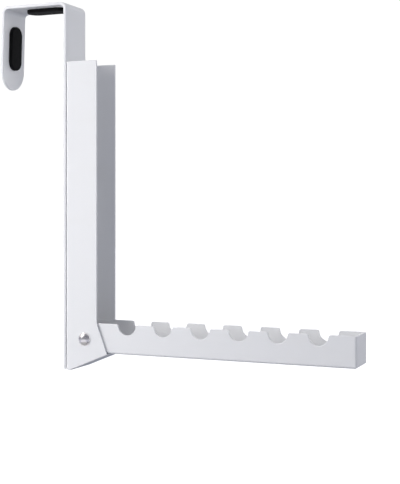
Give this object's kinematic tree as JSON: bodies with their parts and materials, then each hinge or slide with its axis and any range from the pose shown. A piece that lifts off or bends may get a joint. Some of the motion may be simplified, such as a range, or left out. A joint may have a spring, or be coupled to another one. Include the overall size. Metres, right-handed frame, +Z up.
{
  "type": "over-the-door hook",
  "caption": "Over-the-door hook in white powder-coated steel: a padded strip over the door carries a channel with a notched hanger arm that folds up into it.",
  "frame": {"origin": "middle of the underside of the top pad, where the door's top edge bears", "axes": "+X away from the door along the open arm, +Y across the part, +Z up"},
  "size_m": [0.2726, 0.0366, 0.2685],
  "materials": {
    "white_coat": "satin white powder coat on steel",
    "foam": "matt black foam rubber",
    "rivet_steel": "bright plated steel",
    "nylon": "natural nylon"
  },
  "bodies": {
    "bracket": {"over_door_hook": "white_coat", "top_pad": "foam", "rear_leg_pad": "foam", "door_pad": "foam", "back_channel": "white_coat", "hook_rivets": "white_coat", "pivot_rivet": "rivet_steel", "near_washer": "nylon", "far_washer": "nylon"},
    "arm": {"folding_arm": "white_coat", "pivot_sleeve": "rivet_steel"}
  },
  "joints": [
    {"name": "arm_fold", "type": "hinge", "parent": "bracket", "child": "arm", "pos_m": [0.0394, 0, -0.2405], "axis": [0, -1, 0], "range_deg": [0, 90]}
  ]
}
